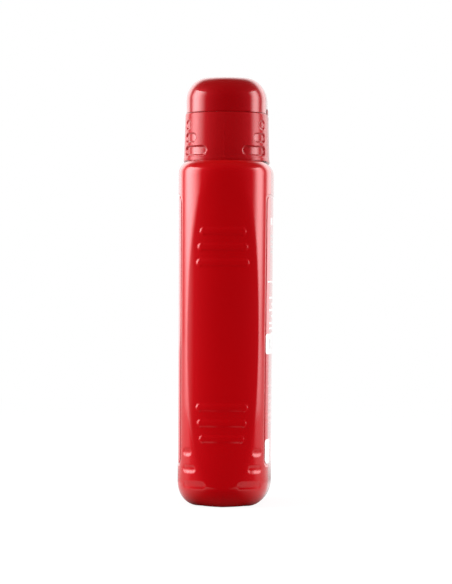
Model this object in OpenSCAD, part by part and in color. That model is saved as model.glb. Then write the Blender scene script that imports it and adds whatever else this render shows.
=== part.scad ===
// Shower gel bottle with a flip-top closure, standing on its base. Millimetres, Z up.
// The front label faces -Y, the back label and the hinge face +Y, and the narrow grip sides face -X and +X.
// Every horizontal section is an oval of three tangent arcs: a narrow end, a corner and a broad face.

/* [Bottle] */
// Width of the bottle from one narrow side to the other
body_w = 73; // [68:0.5:78]
// Depth of the bottle from front to back
body_d = 49.2; // [46:0.2:52]
// Height of the flat shoulder
body_h = 176.8; // [168:0.2:186]
// Wall of the bottle
body_wall = 0.9; // [0.7:0.1:1.4]
// Radius of the narrow ends, seen from above
body_end_r = 30; // [26:0.5:33]
// Radius of the corners, seen from above
body_corner_r = 17; // [15.5:0.5:19]
// Radius of the broad faces, seen from above
body_face_r = 220; // [160:5:400]
// How much the sides lean in from the shoulder to the base
body_lean = 0.6; // [0:0.1:1.5]
// Radius of the edge between the sides and the shoulder
shoulder_r = 6; // [4:0.5:8]

/* [Base] */
// Height of the rounding at the base
base_round_h = 12; // [8:0.5:14]
// How far the rounding draws the base in
base_round_in = 8; // [6:0.5:9]
// Width of the ring that the bottle stands on
foot_w = 2.4; // [1.5:0.1:3]
// Height of the hollow under the base
push_up = 2.2; // [1:0.1:3.5]
// Width of the slope of that hollow
push_slope = 3; // [2:0.1:3.5]

/* [Grip] */
// Depth of the scoop at the waist of each narrow side
scoop_depth = 3.8; // [2.5:0.1:4.5]
// Radius of the scoop, seen from the front
scoop_r = 780; // [650:10:1100]
// Radius of the scoop's gently rounded face, seen from above
scoop_face_r = 90; // [70:5:300]
// Height of the waist
scoop_z = 87.7; // [80:0.5:95]
// Number of grip bars above the waist, and below it
bar_count = 3; // [1:1:3]
// Distance from the waist to the nearest bar
bar_first = 36.7; // [30:0.1:38]
// Distance from one bar to the next
bar_pitch = 7.95; // [6.5:0.05:8.2]
// Height of a bar
bar_h = 4.6; // [3:0.1:5]
// How far a bar stands out
bar_rise = 0.6; // [0.4:0.1:1]
// Space from the end of a bar to the edge of the scoop
bar_margin = 3; // [2:0.1:4]

/* [Base slots] */
// Height of a slot
base_slot_h = 4.8; // [3.5:0.1:5]
// Depth of a slot
base_slot_depth = 0.8; // [0.4:0.1:1.2]
// Heights of the three slots, from the lowest one
base_slot_z = [11.5, 19.8, 28.3]; // [8:0.1:32]
// Where the slots start, from the middle of the narrow side
base_slot_start = [7.6, 13, 15.4]; // [6:0.1:17]
// Where the slots end on the broad faces, from the middle of the bottle
base_slot_end = 27.4; // [27:0.1:29]

/* [Labels] */
// Width of a label
label_w = 49; // [40:0.5:50]
// Height of a label
label_h = 137.6; // [120:0.2:139]
// Height of a label's lower edge
label_z = 22; // [20:0.2:24]
// Thickness of a label's film
label_t = 0.2; // [0.15:0.05:0.3]
// Space between a label and the edge of its panel
label_margin = 0.8; // [0.4:0.1:1.2]
// Depth of the panel
panel_depth = 0.4; // [0.3:0.05:0.6]
// Width of the slope at the panel's edge
panel_slope = 0.6; // [0.4:0.1:1]

/* [Neck] */
// Outer diameter of the neck
neck_d = 24; // [20:0.5:27]
// Wall of the neck
neck_wall = 1.5; // [1.2:0.1:2]
// How far the snap bead stands out from the neck
bead_out = 0.8; // [0.5:0.1:1]
// Height of the snap bead
bead_h = 2.4; // [1.8:0.1:3]
// Distance from the top of the neck to the snap bead
bead_drop = 4; // [3:0.1:6]

/* [Closure] */
// Width of the lid
cap_w = 54; // [51:0.2:57]
// Depth of the lid from front to back
cap_d = 41.9; // [40:0.1:44]
// Radius of the closure's narrow ends, seen from above
cap_end_r = 26; // [24:0.5:26.5]
// Radius of the closure's corners, seen from above
cap_corner_r = 15; // [13.5:0.5:16]
// Radius of the closure's broad faces, seen from above
cap_face_r = 150; // [100:5:300]
// Height of the skirt, from its rim to the lid
skirt_h = 24.5; // [22:0.1:27]
// Space between the shoulder and the skirt's rim
skirt_gap = 0.3; // [0.2:0.1:0.6]
// How far the skirt's upper edge stands out from the lid
skirt_step = 0.45; // [0.3:0.05:0.8]
// How much further the skirt stands out at its foot
skirt_flare = 0.6; // [0.2:0.05:1]
// How far the rim stands out from the skirt's foot
rim_out = 0.2; // [0.1:0.05:0.4]
// Height of the rim
rim_h = 1.4; // [0.8:0.1:2]
// Radius of the skirt's upper edge
skirt_edge_r = 0.8; // [0.4:0.1:1]
// Wall of the closure behind the slots
cap_wall = 1; // [0.8:0.1:1.4]

/* [Closure slots] */
// Height of a slot
cap_slot_h = 4.9; // [3.5:0.1:5.5]
// Heights of the three slots above the rim, from the lowest one
cap_slot_z = [4.8, 11.5, 18.2]; // [4:0.1:19.5]
// Where the slots start, from the middle of the narrow side
cap_slot_start = [8.8, 14.2, 16.9]; // [7:0.1:17.5]
// Where the slots end on the broad faces, from the middle of the closure
cap_slot_end = 15.8; // [13:0.1:17]

/* [Deck] */
// Thickness of the deck
deck_t = 1.6; // [1.2:0.1:2.2]
// Depth of the deck's tray below the skirt's upper edge
tray_depth = 1; // [0.6:0.1:1.6]
// Width of the ledge round the tray, which the lid closes on
ledge_w = 2.6; // [2:0.1:3.5]
// Diameter of the collar round the orifice
collar_d = 11; // [9:0.5:14]
// Height of the collar above the tray
collar_h = 2; // [1.2:0.1:3]
// Diameter of the orifice
orifice_d = 5; // [4.2:0.1:7]
// Wall of the sleeve round the neck
sleeve_wall = 1.4; // [1.1:0.1:1.8]
// Distance from the neck's bead to the sleeve's lower end
sleeve_below = 3; // [2:0.1:4]
// Length of the seal ring inside the neck
seal_len = 5; // [3:0.1:8]
// Wall of the seal ring
seal_wall = 1; // [0.8:0.1:1.4]
// Width of the thumb notch at the front
notch_w = 12; // [10:0.5:14]
// Depth of the thumb notch
notch_depth = 1; // [0.6:0.1:1.2]

/* [Lid] */
// Height of the lid
lid_h = 18.4; // [16:0.1:21]
// Radius of the lid's upper edge
lid_edge_r = 10; // [8:0.2:12]
// Wall of the lid
lid_wall = 1.3; // [1:0.1:1.6]
// Space between the lid and the skirt
lid_gap = 0.2; // [0.1:0.05:0.4]
// Diameter of the boss that carries the plug
boss_d = 8; // [6.5:0.1:8.8]
// How far the plug reaches into the orifice
plug_len = 2.4; // [1.5:0.1:3]

/* [Hinge] */
// Width of the hinge strap
strap_w = 13; // [10:0.5:14]
// Thickness of the hinge strap
strap_t = 0.4; // [0.3:0.05:0.5]
// How far the strap reaches above and below the lid's seam
strap_reach = 2.6; // [2:0.1:4]

/* [Gel] */
// Height of the gel's surface
gel_level = 150; // [110:1:160]

/* [Fits] */
// Clearance round the neck, its bead and the seal ring
neck_gap = 0.15; // [0.1:0.05:0.25]
// Clearance between the neck's top and the deck
seat_gap = 0.1; // [0.05:0.05:0.3]
// Clearance round the plug
plug_gap = 0.3; // [0.25:0.05:0.45]
// Clearance round the hinge strap in its recess
strap_gap = 0.15; // [0.1:0.05:0.3]

/* [Hidden] */
$fn = 48;
lap = 0.01;
red = [0.68, 0.01, 0.03];
deep_red = [0.58, 0.01, 0.02];
label_red = [0.8, 0.1, 0.12];
gel_red = [0.85, 0.25, 0.25];

bottle = [body_w / 2, body_d / 2, body_end_r, body_corner_r, body_face_r];
cap = [cap_w / 2, cap_d / 2, cap_end_r, cap_corner_r, cap_face_r];
panel_half = label_w / 2 + label_margin + panel_slope;
panel_low = label_z - label_margin - panel_slope;
panel_top = label_z + label_h + label_margin + panel_slope;
rim_z = body_h + skirt_gap;
seam_z = rim_z + skirt_h;
tray_z = seam_z - tray_depth;
deck_z = tray_z - deck_t;
neck_top = deck_z - seat_gap;
bead_z = neck_top - bead_drop - bead_h;
neck_bore = neck_d - 2 * neck_wall;
lid_z = seam_z + lid_gap;
lid_top = seam_z + lid_h;
plug_d = orifice_d - 2 * plug_gap;
axis_y = cap[1] + strap_gap;
axis_z = seam_z + lid_gap / 2;

// Steps along a quarter of a ring: the scooped end, the corner, the panel's slope and the broad face
end_steps = 4;
corner_steps = 6;
face_steps = 5;
label_steps = 16;
least_end = 8;

function limit(v) = max(-1, min(1, v));

// The normal's angle where an oval's end arc passes into its corner arc
function end_turn(o) = let (p = o[0] - o[2], q = o[2] - o[3], s = o[4] - o[1],
    a = 2 * p * q, b = 2 * s * q, d = pow(o[4] - o[3], 2) - p * p - q * q - s * s)
    atan2(b, a) - acos(limit(d / norm([a, b])));
function corner_centre(o) = let (t = end_turn(o))
    [o[0] - o[2] + (o[2] - o[3]) * cos(t), (o[2] - o[3]) * sin(t)];
// The normal's angle where the corner arc passes into the face arc
function face_turn(o) = let (c = corner_centre(o)) atan2(c[1] + o[4] - o[1], c[0]);

// The oval's point whose normal has angle t, moved inwards by inset
function oval_point(o, t, inset) = t < end_turn(o)
    ? [o[0] - o[2], 0] + (o[2] - inset) * [cos(t), sin(t)]
    : t < face_turn(o)
        ? corner_centre(o) + (o[3] - inset) * [cos(t), sin(t)]
        : [0, o[1] - o[4]] + (o[4] - inset) * [cos(t), sin(t)];

// The normal's angle at a distance x from the middle, for an oval moved inwards by inset
function angle_at(o, x, inset) = let (te = acos(limit((x - o[0] + o[2]) / (o[2] - inset))),
    tc = acos(limit((x - corner_centre(o)[0]) / (o[3] - inset))))
    te <= end_turn(o) ? te : tc < face_turn(o) ? tc : acos(limit(x / (o[4] - inset)));

// The broad face's depth at a distance x from the middle
function face_y(o, x, inset) = oval_point(o, angle_at(o, x, inset), inset)[1];

// Four mirrored quarters, from the +X end round to it again
function whole_ring(q) = let (n = len(q) - 1) concat(
    [for (i = [0:n - 1]) q[i]],
    [for (i = [n:-1:1]) [-q[i][0], q[i][1]]],
    [for (i = [0:n - 1]) -q[i]],
    [for (i = [n:-1:1]) [q[i][0], -q[i][1]]]);

function at_height(ring, z) = [for (p = ring) [p[0], p[1], z]];

// The scooped side's distance from the middle at height z
function scoop_x(z) = bottle[0] - scoop_depth + scoop_r - sqrt(scoop_r * scoop_r - pow(z - scoop_z, 2));
// How far the sides lean in at height z
function lean_in(z) = body_lean * (1 - z / body_h);
// How far the scoop's face falls away at a distance y from its middle
function scoop_fall(y) = scoop_face_r - sqrt(scoop_face_r * scoop_face_r - y * y);
// The normal's angle at the scoop's edge, closed in on in a few tries, and the edge's distance from the middle
function crease_t(z, inset, wall, y = 0, tries = 5) =
    let (t = max(least_end, angle_at(bottle, scoop_x(z) - wall - scoop_fall(y), inset)))
    tries == 0 ? t : crease_t(z, inset, wall, oval_point(bottle, t, inset)[1], tries - 1);
function crease_y(z) = oval_point(bottle, crease_t(z, lean_in(z), 0), lean_in(z))[1];

panel_t = angle_at(bottle, panel_half, 0);
floor_t = angle_at(bottle, panel_half - panel_slope, 0);
label_edge_t = angle_at(bottle, label_w / 2, 0);

// The label's part of a quarter, from the label's edge to the middle of the broad face
function face_points(inset) = let (x = oval_point(bottle, label_edge_t, inset)[0])
    [for (i = [0:face_steps]) let (xi = x * (1 - i / face_steps)) [xi, face_y(bottle, xi, inset)]];

// A quarter of the bottle's section at height z, moved inwards by inset, of which wall is its wall,
// with the label panel sunk by sink
function bottle_quarter(z, inset, wall, sink) =
    let (t = crease_t(z, inset, wall), y = oval_point(bottle, t, inset)[1], r = bottle[2] - inset)
    concat(
        [for (i = [0:end_steps - 1]) let (yi = y * i / end_steps,
            x = bottle[0] - bottle[2] + sqrt(r * r - yi * yi)) [min(x, scoop_x(z) - wall - scoop_fall(yi)), yi]],
        [for (i = [0:corner_steps]) oval_point(bottle, t + (panel_t - t) * i / corner_steps, inset)],
        [oval_point(bottle, floor_t, inset + sink)],
        face_points(inset + sink));
function bottle_ring(level, wall) = at_height(
    whole_ring(bottle_quarter(level[0], level[1] + wall, wall, level[2])), level[0]);

// Levels are [height, inset, sink], from the base up. The base and the shoulder are rounded, and wall
// moves a level from the outer face to the inner one.
function base_levels(n, wall) = [for (i = [0:n - 1]) let (t = 90 * i / n)
    [wall + (base_round_h - wall) * (1 - cos(t)), base_round_in * (1 - sin(t)) + lean_in(0), 0]];
function shoulder_levels(n, wall) = [for (i = [0:n]) let (t = 90 * i / n)
    [body_h - wall - (shoulder_r - wall) * (1 - sin(t)), (shoulder_r - wall) * (1 - cos(t)), 0]];
function even_levels(z0, z1, n, sink) = [for (i = [0:n - 1]) let (z = z0 + (z1 - z0) * i / n)
    [z, lean_in(z), sink]];

side_levels = concat(
    even_levels(base_round_h, panel_low, 3, 0),
    even_levels(panel_low, panel_low + panel_slope, 1, 0),
    even_levels(panel_low + panel_slope, label_z, 1, panel_depth),
    even_levels(label_z, label_z + label_h, label_steps, panel_depth),
    even_levels(label_z + label_h, panel_top - panel_slope, 1, panel_depth),
    even_levels(panel_top - panel_slope, panel_top, 1, panel_depth),
    even_levels(panel_top, body_h - shoulder_r, 2, 0));
outer_levels = concat(
    [[push_up, base_round_in + foot_w + push_slope, 0], [0, base_round_in + foot_w, 0]],
    base_levels(7, 0), side_levels, shoulder_levels(6, 0));
wet_levels = concat(
    [[push_up + body_wall, base_round_in + foot_w + push_slope, 0],
        [body_wall, base_round_in + foot_w, 0]],
    base_levels(5, body_wall),
    even_levels(base_round_h, panel_low + panel_slope, 1, 0),
    even_levels(panel_low + panel_slope, gel_level, 10, panel_depth));
inner_levels = concat(wet_levels,
    even_levels(gel_level, panel_top - panel_slope, 1, panel_depth),
    even_levels(panel_top, body_h - shoulder_r, 2, 0),
    shoulder_levels(4, body_wall));

// A quarter of the closure's section, moved inwards by inset
function cap_quarter(inset) = let (te = end_turn(cap), tf = face_turn(cap), x = oval_point(cap, tf, inset)[0])
    concat(
        [for (i = [0:2]) oval_point(cap, te * i / 3, inset)],
        [for (i = [0:5]) oval_point(cap, te + (tf - te) * i / 6, inset)],
        [for (i = [0:3]) let (xi = x * (1 - i / 3)) [xi, face_y(cap, xi, inset)]]);
function cap_ring(level) = at_height(whole_ring(cap_quarter(level[1])), level[0]);

skirt_foot = skirt_step + skirt_flare;
skirt_levels = concat(
    [[rim_z, -skirt_foot - rim_out], [rim_z + rim_h, -skirt_foot]],
    [for (i = [0:4]) let (t = 90 * i / 4)
        [seam_z - skirt_edge_r * (1 - sin(t)), skirt_edge_r * (1 - cos(t)) - skirt_step]]);
function lid_levels(z0, wall) = concat([[z0, wall]],
    [for (i = [0:8]) let (t = 90 * i / 8, r = lid_edge_r - wall)
        [lid_top - wall - r * (1 - sin(t)), wall + r * (1 - cos(t))]]);

// A solid through rings of points, closed by its first and last ring
module loft(rings) {
    n = len(rings[0]);
    m = len(rings);
    polyhedron(
        points = [for (r = rings) for (p = r) p],
        faces = concat(
            [[for (i = [0:n - 1]) i]],
            [[for (i = [n - 1:-1:0]) (m - 1) * n + i]],
            [for (j = [0:m - 2]) for (i = [0:n - 1]) let (k = (i + 1) % n)
                [j * n + i, (j + 1) * n + i, (j + 1) * n + k]],
            [for (j = [0:m - 2]) for (i = [0:n - 1]) let (k = (i + 1) % n)
                [j * n + i, (j + 1) * n + k, j * n + k]]));
}

// An upright prism on the closure's section
module cap_prism(z0, z1, inset) {
    translate([0, 0, z0]) linear_extrude(z1 - z0) polygon(whole_ring(cap_quarter(inset)));
}

module tube(d, wall, z0, z1) {
    translate([0, 0, z0]) difference() {
        cylinder(d = d, h = z1 - z0);
        translate([0, 0, -lap]) cylinder(d = d - 2 * wall, h = z1 - z0 + 2 * lap);
    }
}

// A flat pill of length w, and the endless one that starts at a distance from the middle
module pill(w, h) {
    square([w - h, h], center = true);
    for (s = [-1, 1]) translate([s * (w - h) / 2, 0]) circle(d = h);
}
module open_pill(start, h) {
    translate([start + h / 2, 0]) circle(d = h);
    translate([start + h / 2, -h / 2]) square([body_w, h]);
}

// A slot's block at each corner, round at its start on the narrow side and at its end on the broad face
module corner_slots(start, end, h, z) {
    for (mx = [0, 1], my = [0, 1]) mirror([mx, 0, 0]) mirror([0, my, 0]) translate([0, 0, z]) intersection() {
        rotate([90, 0, 90]) linear_extrude(body_w) open_pill(start, h);
        translate([0, body_w, 0]) rotate([90, 0, 0]) linear_extrude(body_w) open_pill(end, h);
    }
}

// A bar lies on the scoop, square to its surface and rounded with it, and is rooted in the wall
module grip_bar(z) {
    reach = scoop_fall(crease_y(z)) + body_wall;
    translate([scoop_x(z), 0, z]) rotate([0, asin((z - scoop_z) / scoop_r), 0]) intersection() {
        translate([-reach, 0, 0]) rotate([90, 0, 90]) linear_extrude(reach + bar_rise + lap)
            pill(2 * (crease_y(z) - bar_margin), bar_h);
        translate([-scoop_face_r, 0, -bar_h]) difference() {
            cylinder(r = scoop_face_r + bar_rise, h = 2 * bar_h, $fn = 360);
            translate([0, 0, -lap]) cylinder(r = scoop_face_r - body_wall / 2, h = 2 * bar_h + 2 * lap, $fn = 360);
        }
    }
}

module neck() {
    r = neck_d / 2;
    translate([0, 0, body_h - body_wall]) cylinder(r = r, h = neck_top - body_h + body_wall);
    rotate_extrude() polygon([[r - lap, bead_z], [r + bead_out, bead_z], [r + bead_out, bead_z + bead_h / 3],
        [r, bead_z + bead_h], [r - lap, bead_z + bead_h]]);
}

module bottle_body() {
    color(red) difference() {
        union() {
            loft([for (l = outer_levels) bottle_ring(l, 0)]);
            for (m = [0, 1], side = [-1, 1], i = [0:bar_count - 1]) mirror([m, 0, 0])
                grip_bar(scoop_z + side * (bar_first + i * bar_pitch));
            neck();
        }
        for (i = [0:len(base_slot_z) - 1]) let (z = base_slot_z[i]) difference() {
            corner_slots(base_slot_start[i], base_slot_end, base_slot_h, z);
            translate([0, 0, z - base_slot_h]) linear_extrude(2 * base_slot_h)
                polygon(whole_ring(bottle_quarter(z, lean_in(z) + base_slot_depth, base_slot_depth, 0)));
        }
        loft([for (l = inner_levels) bottle_ring(l, body_wall)]);
        translate([0, 0, body_h - body_wall - lap]) cylinder(d = neck_bore, h = neck_top);
    }
}

module gel_fill() {
    color(gel_red)
        loft([for (l = concat(wet_levels, [[gel_level, lean_in(gel_level), panel_depth]]))
            bottle_ring(l, body_wall)]);
}

// A film on the back panel's floor, from its outer face round to its inner one
module label_film() {
    function film_ring(z) = let (floor_in = lean_in(z) + panel_depth,
        outer = face_points(floor_in - label_t), inner = face_points(floor_in), n = face_steps)
        concat(outer, [for (i = [n - 1:-1:0]) [-outer[i][0], outer[i][1]]],
            [for (i = [0:n]) [-inner[i][0], inner[i][1]]], [for (i = [n - 1:-1:0]) inner[i]]);
    loft([for (i = [0:label_steps]) let (z = label_z + label_h * i / label_steps) at_height(film_ring(z), z)]);
}
module back_label() {
    color(label_red) label_film();
}
module front_label() {
    color(label_red) rotate([0, 0, 180]) label_film();
}

module sleeve() {
    lip = neck_d / 2 + neck_gap;
    bore = lip + bead_out;
    outer = bore + sleeve_wall;
    catch_z = bead_z - neck_gap;
    rotate_extrude() polygon([[lip, catch_z - sleeve_below], [outer, catch_z - sleeve_below],
        [outer, deck_z + lap], [bore, deck_z + lap], [bore, catch_z], [lip, catch_z]]);
}

module hinge_recess() {
    w = strap_w + 2 * strap_gap;
    translate([-w / 2, axis_y - strap_t / 2, seam_z - strap_reach - strap_gap])
        cube([w, body_w, 2 * (strap_reach + strap_gap) + lid_gap]);
}

module thumb_notch() {
    r = (notch_w * notch_w / 4 + notch_depth * notch_depth) / (2 * notch_depth);
    translate([0, -cap[1] - skirt_step + notch_depth - r, seam_z]) sphere(r = r, $fn = 160);
}

module closure_base() {
    color(deep_red) difference() {
        union() {
            difference() {
                loft([for (l = skirt_levels) cap_ring(l)]);
                cap_prism(rim_z - lap, deck_z, cap_wall);
                cap_prism(tray_z, seam_z + lap, ledge_w);
                for (i = [0:len(cap_slot_z) - 1]) difference() {
                    corner_slots(cap_slot_start[i], cap_slot_end, cap_slot_h, rim_z + cap_slot_z[i]);
                    cap_prism(rim_z, seam_z, 0);
                }
                hinge_recess();
                thumb_notch();
            }
            translate([0, 0, tray_z - lap]) cylinder(d = collar_d, h = collar_h + lap);
            sleeve();
            tube(neck_bore - 2 * neck_gap, seal_wall, neck_top - seal_len, deck_z + lap);
        }
        translate([0, 0, deck_z - lap]) cylinder(d = orifice_d, h = seam_z + collar_h - deck_z);
    }
}

module flip_lid() {
    collar_top = tray_z + collar_h;
    boss_z = collar_top + plug_gap;
    ceiling = lid_top - lid_wall;
    color(red) union() {
        difference() {
            loft([for (l = lid_levels(lid_z, 0)) cap_ring(l)]);
            loft([for (l = lid_levels(lid_z - 1, lid_wall)) cap_ring(l)]);
            hinge_recess();
        }
        translate([0, 0, boss_z]) cylinder(d = boss_d, h = ceiling + lap - boss_z);
        translate([0, 0, collar_top - plug_len]) cylinder(d = plug_d, h = plug_len + plug_gap + lap);
    }
}

module living_hinge() {
    color(deep_red) translate([-strap_w / 2, axis_y - strap_t / 2, seam_z - strap_reach])
        cube([strap_w, strap_t, 2 * strap_reach + lid_gap]);
}

bottle_body();
gel_fill();
front_label();
back_label();
closure_base();
flip_lid();
living_hinge();
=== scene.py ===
from math import acos, atan2, cos, hypot, pi, radians, sin

import bpy
import numpy as np
from mathutils import Matrix, Vector


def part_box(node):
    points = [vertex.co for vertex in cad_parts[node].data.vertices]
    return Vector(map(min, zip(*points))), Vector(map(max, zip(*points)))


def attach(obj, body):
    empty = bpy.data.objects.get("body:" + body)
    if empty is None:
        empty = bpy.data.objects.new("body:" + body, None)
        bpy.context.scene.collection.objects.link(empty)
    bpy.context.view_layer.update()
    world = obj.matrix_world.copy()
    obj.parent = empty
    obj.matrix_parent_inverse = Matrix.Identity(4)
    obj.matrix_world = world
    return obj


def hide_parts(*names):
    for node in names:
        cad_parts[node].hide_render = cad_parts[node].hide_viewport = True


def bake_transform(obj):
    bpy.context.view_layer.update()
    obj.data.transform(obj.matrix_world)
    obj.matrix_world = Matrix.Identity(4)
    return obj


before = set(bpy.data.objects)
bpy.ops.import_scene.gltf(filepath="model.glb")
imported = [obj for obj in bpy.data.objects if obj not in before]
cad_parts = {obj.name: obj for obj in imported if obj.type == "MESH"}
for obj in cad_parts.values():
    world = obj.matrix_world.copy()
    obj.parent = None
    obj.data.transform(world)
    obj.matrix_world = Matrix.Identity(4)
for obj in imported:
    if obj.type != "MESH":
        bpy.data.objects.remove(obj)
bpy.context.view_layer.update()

# Shapes are worked out in millimetres, and each mesh is made in metres.
mm = 0.001


def boxInMm(node):  # the lowest and the highest corner of a node
    low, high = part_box(node)
    return np.array(low) / mm, np.array(high) / mm


# Shared shape functions

def ramp(value, start, end):  # smooth step from 0 at start to 1 at end
    t = np.clip((value - start) / (end - start), 0.0, 1.0)
    return t * t * (3 - 2 * t)


def smoothLess(a, b, blend):  # the smaller of two values, with the change between them rounded over blend
    share = np.clip(0.5 + 0.5 * (b - a) / blend, 0.0, 1.0)
    return b * (1 - share) + a * share - blend * share * (1 - share)


def pillDistance(along, up, halfLength, halfHeight):  # distance to a pill's edge, negative inside
    return np.hypot(np.maximum(np.abs(along) - halfLength + halfHeight, 0), up) - halfHeight


def roundedBoxDistance(x, z, halfWidth, halfHeight, corner):  # the same for a rounded rectangle
    dx, dz = np.abs(x) - halfWidth + corner, np.abs(z) - halfHeight + corner
    return np.hypot(np.maximum(dx, 0), np.maximum(dz, 0)) + np.minimum(np.maximum(dx, dz), 0) - corner


def spaced(start, *stretches):  # values from start on, even within each stretch of (end, step)
    values = [np.array([start])]
    for end, step in stretches:
        count = max(1, round((end - values[-1][-1]) / step))
        values.append(np.linspace(values[-1][-1], end, count + 1)[1:])
    return np.concatenate(values)


def ovalArcs(halfWidth, halfDepth, sizes):
    # a quarter of an oval is three tangent arcs: each row is centre x, centre y, radius, first and last angle
    endRadius, cornerRadius, faceRadius = sizes["endRadius"], sizes["cornerRadius"], sizes["faceRadius"]
    p, q, s = halfWidth - endRadius, endRadius - cornerRadius, faceRadius - halfDepth
    across = (faceRadius - cornerRadius) ** 2 - p * p - q * q - s * s
    endTurn = atan2(s, p) - acos(across / (2 * q * hypot(p, s)))
    cornerX, cornerY = p + q * cos(endTurn), q * sin(endTurn)
    faceTurn = atan2(cornerY + s, cornerX)
    return np.array([[p, 0, endRadius, 0, endTurn],
                     [cornerX, cornerY, cornerRadius, endTurn, faceTurn],
                     [0, -s, faceRadius, faceTurn, pi / 2]])


def arcLengths(arcs):  # where each arc of a quarter ends, along the section
    return np.cumsum(arcs[:, 2] * (arcs[:, 4] - arcs[:, 3]))


def ringColumns(arcs, stations):
    # each station along a quarter gets its arc's centre, radius and normal; three mirrored quarters follow
    ends = arcLengths(arcs)
    which = np.minimum(np.searchsorted(ends, stations, side="right"), 2)
    starts = np.concatenate([[0], ends[:2]])
    angle = arcs[which, 3] + (stations - starts[which]) / arcs[which, 2]
    order = np.arange(len(stations))
    index = np.concatenate([order[:-1], order[:0:-1], order[:-1], order[:0:-1]])
    n = len(stations) - 1
    sideX = np.repeat([1, -1, -1, 1], n)
    sideY = np.repeat([1, 1, -1, -1], n)
    return {"centreX": sideX * arcs[which, 0][index], "centreY": sideY * arcs[which, 1][index],
            "radius": arcs[which, 2][index], "normalX": sideX * np.cos(angle)[index],
            "normalY": sideY * np.sin(angle)[index], "station": stations[index], "sideX": sideX}


def quarterRow(columns, inset):  # the first quarter of a ring at one inset, from narrow side to broad face
    quarter = {key: value[:len(value) // 4 + 1] for key, value in columns.items()}
    return ovalRows(quarter, 0.0, inset)[0]


def ovalRows(columns, z, inset):
    # one ring at each height: arc centre + (radius - inset) * normal; inset may also vary along a ring
    z, inset = np.atleast_1d(z), np.atleast_1d(inset)
    inset = inset[:, None] if inset.ndim == 1 else inset
    reach = columns["radius"] - inset
    return np.stack([columns["centreX"] + reach * columns["normalX"],
                     columns["centreY"] + reach * columns["normalY"],
                     np.broadcast_to(z[:, None], reach.shape)], axis=2)


def circleRows(columns, z, radius):  # rings of circles whose points lie in the same directions as the oval's
    oval = ovalRows(columns, 0.0, 0.0)[0]
    turn = np.arctan2(oval[:, 1], oval[:, 0])
    z, radius = np.atleast_1d(z)[:, None], np.atleast_1d(radius)[:, None]
    x, y = radius * np.cos(turn), radius * np.sin(turn)
    return np.stack([x, y, np.broadcast_to(z, x.shape)], axis=2)


def between(first, last, count):  # rings that pass evenly from one ring to another, without either
    share = np.arange(1, count + 1)[:, None, None] / (count + 1)
    return first * (1 - share) + last * share


def towardsPole(ring, count):  # ever smaller copies of a ring, down to a tenth
    share = np.linspace(1, 0.1, count + 1)[1:, None, None]
    return ring * np.concatenate([share, share, np.ones_like(share)], axis=2)


def roundedPath(corners, steps=4):
    # a path of (a, z, radius) corners, where each inner corner becomes an arc of its own radius
    points = [corners[0][:2]]
    for before, here, after in zip(corners, corners[1:], corners[2:]):
        p = np.array(here[:2], float)
        u, v = np.array(before[:2]) - p, np.array(after[:2]) - p
        u, v = u / np.linalg.norm(u), v / np.linalg.norm(v)
        angle = acos(max(-1.0, min(1.0, float(u @ v))))
        if here[2] == 0 or angle > pi - 0.02:
            points.append(tuple(p))
            continue
        cut, turn = here[2] / np.tan(angle / 2), pi - angle
        centre = p + (u + v) / np.linalg.norm(u + v) * here[2] / sin(angle / 2)
        first, last = p + u * cut - centre, p + v * cut - centre
        for t in np.linspace(0, 1, steps + 1):
            points.append(tuple(centre + (sin((1 - t) * turn) * first + sin(t * turn) * last) / sin(turn)))
    points.append(corners[-1][:2])
    return np.array(points)


def newPiece(name, points, faces):  # a smooth mesh in the scene, from points in millimetres
    mesh = bpy.data.meshes.new(name)
    mesh.from_pydata((points * mm).tolist(), [], faces)
    mesh.validate()
    mesh.shade_smooth()
    piece = bpy.data.objects.new(name, mesh)
    bpy.context.scene.collection.objects.link(piece)
    return piece


def gridMesh(name, rings, firstPole=None, lastPole=None, torus=False):
    # rings of equal length become quads; a pole closes an end, and a torus joins the last ring to the first
    count, n = rings.shape[:2]
    index = np.arange(count * n).reshape(count, n)
    lower, upper = (index, np.roll(index, -1, 0)) if torus else (index[:-1], index[1:])
    right = lambda block: np.roll(block, -1, 1)
    quads = np.stack([lower, right(lower), right(upper), upper], axis=2).reshape(-1, 4).tolist()
    points = rings.reshape(-1, 3)
    fans = []
    if firstPole is not None:
        points = np.vstack([points, firstPole])
        fans += [[len(points) - 1, b, a] for a, b in zip(index[0], np.roll(index[0], -1))]
    if lastPole is not None:
        points = np.vstack([points, lastPole])
        fans += [[len(points) - 1, a, b] for a, b in zip(index[-1], np.roll(index[-1], -1))]
    return newPiece(name, points, quads + [[int(i) for i in fan] for fan in fans])


# Shared shader effects

def newGroup(name, inputs, outputs):  # inputs are (name, value) pairs; a tuple makes a vector socket
    group = bpy.data.node_groups.new(name, "ShaderNodeTree")
    for label, value in inputs:
        kind = "NodeSocketVector" if isinstance(value, tuple) else "NodeSocketFloat"
        group.interface.new_socket(name=label, in_out="INPUT", socket_type=kind).default_value = value
    for label in outputs:
        group.interface.new_socket(name=label, in_out="OUTPUT", socket_type="NodeSocketFloat")
    return group, group.nodes.new("NodeGroupInput"), group.nodes.new("NodeGroupOutput")


def mathNode(tree, operation, *values):  # a value is a number or another node's output
    node = tree.nodes.new("ShaderNodeMath")
    node.operation = operation
    for socket, value in zip(node.inputs, values):
        if isinstance(value, (int, float)):
            socket.default_value = value
        else:
            tree.links.new(value, socket)
    return node.outputs[0]


def mapRange(tree, value, fromMin, fromMax, toMin, toMax):  # a smooth step between two ranges
    node = tree.nodes.new("ShaderNodeMapRange")
    node.interpolation_type = "SMOOTHSTEP"
    tree.links.new(value, node.inputs["Value"])
    limits = (fromMin, fromMax, toMin, toMax)
    for socket, number in zip(("From Min", "From Max", "To Min", "To Max"), limits):
        node.inputs[socket].default_value = number
    return node.outputs[0]


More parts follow.
